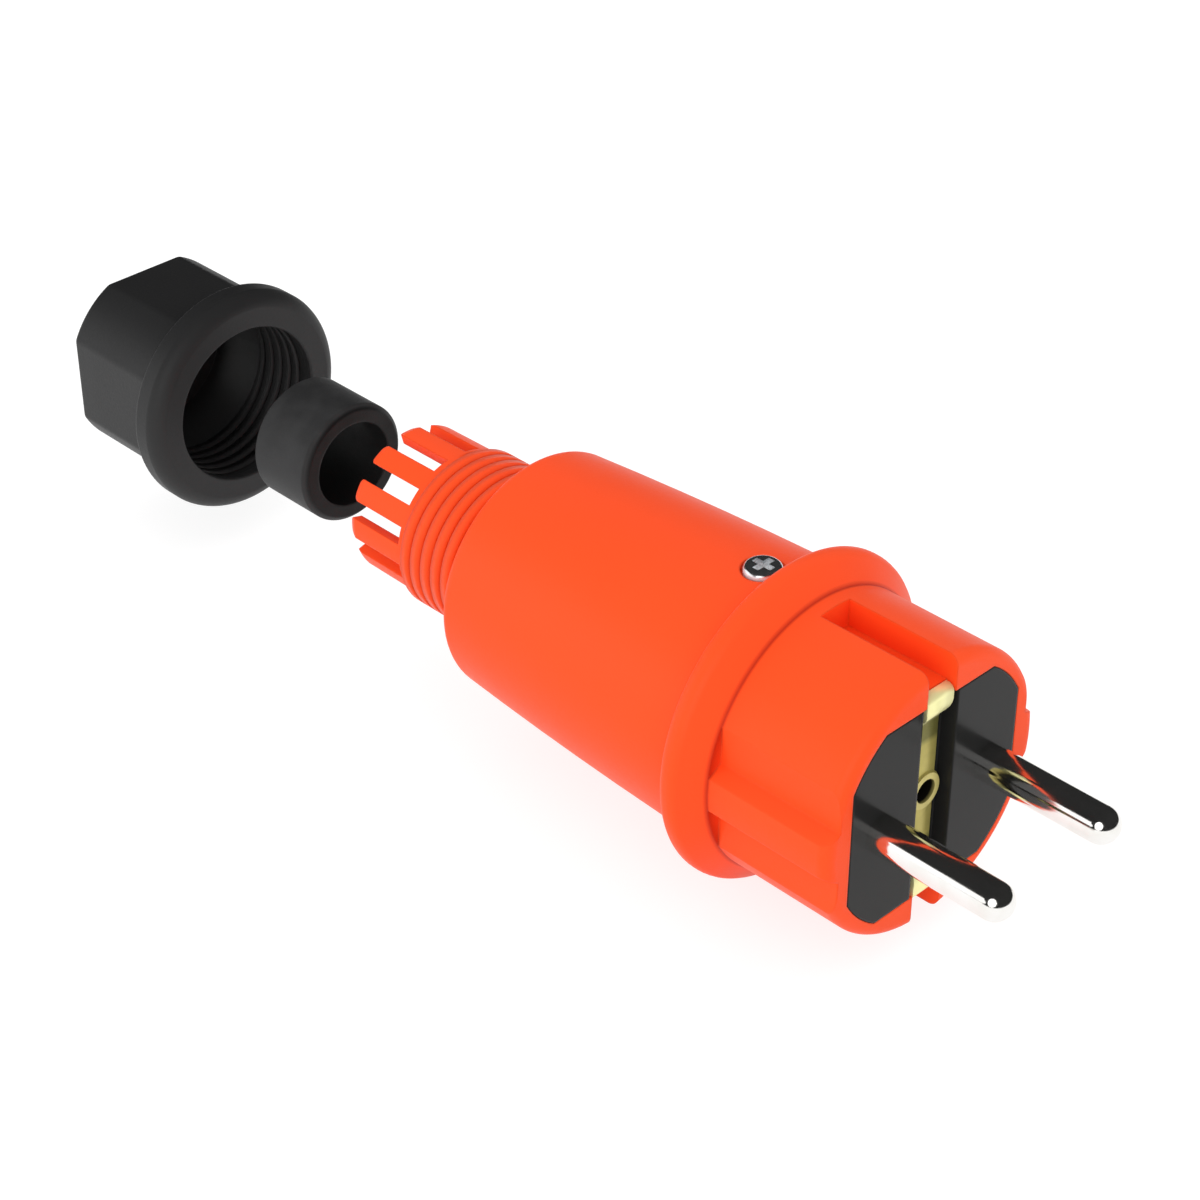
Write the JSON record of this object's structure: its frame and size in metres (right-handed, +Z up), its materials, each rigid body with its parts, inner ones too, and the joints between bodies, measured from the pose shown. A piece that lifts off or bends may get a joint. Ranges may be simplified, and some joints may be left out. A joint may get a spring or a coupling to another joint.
{
  "type": "grounded plug",
  "caption": "Rewirable splash-proof grounded mains plug with round pins, a rim earth strap and a tapered grip; its gland nut and seal stand off behind the clamp fingers.",
  "frame": {"origin": "centre of the face that meets the socket, between the pins", "axes": "+X along the pins, the way the plug goes in; +Y from the neutral pin to the live pin; +Z up, on the side of the housing screw"},
  "size_m": [0.1667, 0.0432, 0.0432],
  "materials": {
    "housing_orange": "satin moulded",
    "carrier_grey": "smooth moulded",
    "pin_nickel": "nickel plated",
    "strap_brass": "rolled",
    "screw_steel": "zinc plated",
    "seal_rubber": "matt",
    "nut_black": "satin moulded"
  },
  "bodies": {
    "plug": {"housing": "housing_orange", "contact_carrier": "carrier_grey", "live_pin": "pin_nickel", "neutral_pin": "pin_nickel", "live_terminal_screw": "screw_steel", "neutral_terminal_screw": "screw_steel", "earth_strap": "strap_brass", "strap_rivet": "strap_brass", "earth_terminal": "strap_brass", "earth_terminal_screw": "screw_steel", "housing_screw": "screw_steel", "screw_nut": "screw_steel"},
    "seal": {"gland_seal": "seal_rubber"},
    "nut": {"gland_nut": "nut_black"}
  },
  "joints": [
    {"name": "nut_slide", "type": "slide", "parent": "plug", "child": "nut", "axis": [1, 0, 0], "range_m": [0, 0.0536]},
    {"name": "seal_slide", "type": "slide", "parent": "plug", "child": "seal", "axis": [1, 0, 0], "range_m": [0, 0.0224]}
  ],
  "couplings": [
    {"joint": "seal_slide", "follows": "nut_slide", "ratio": 0.4179}
  ]
}
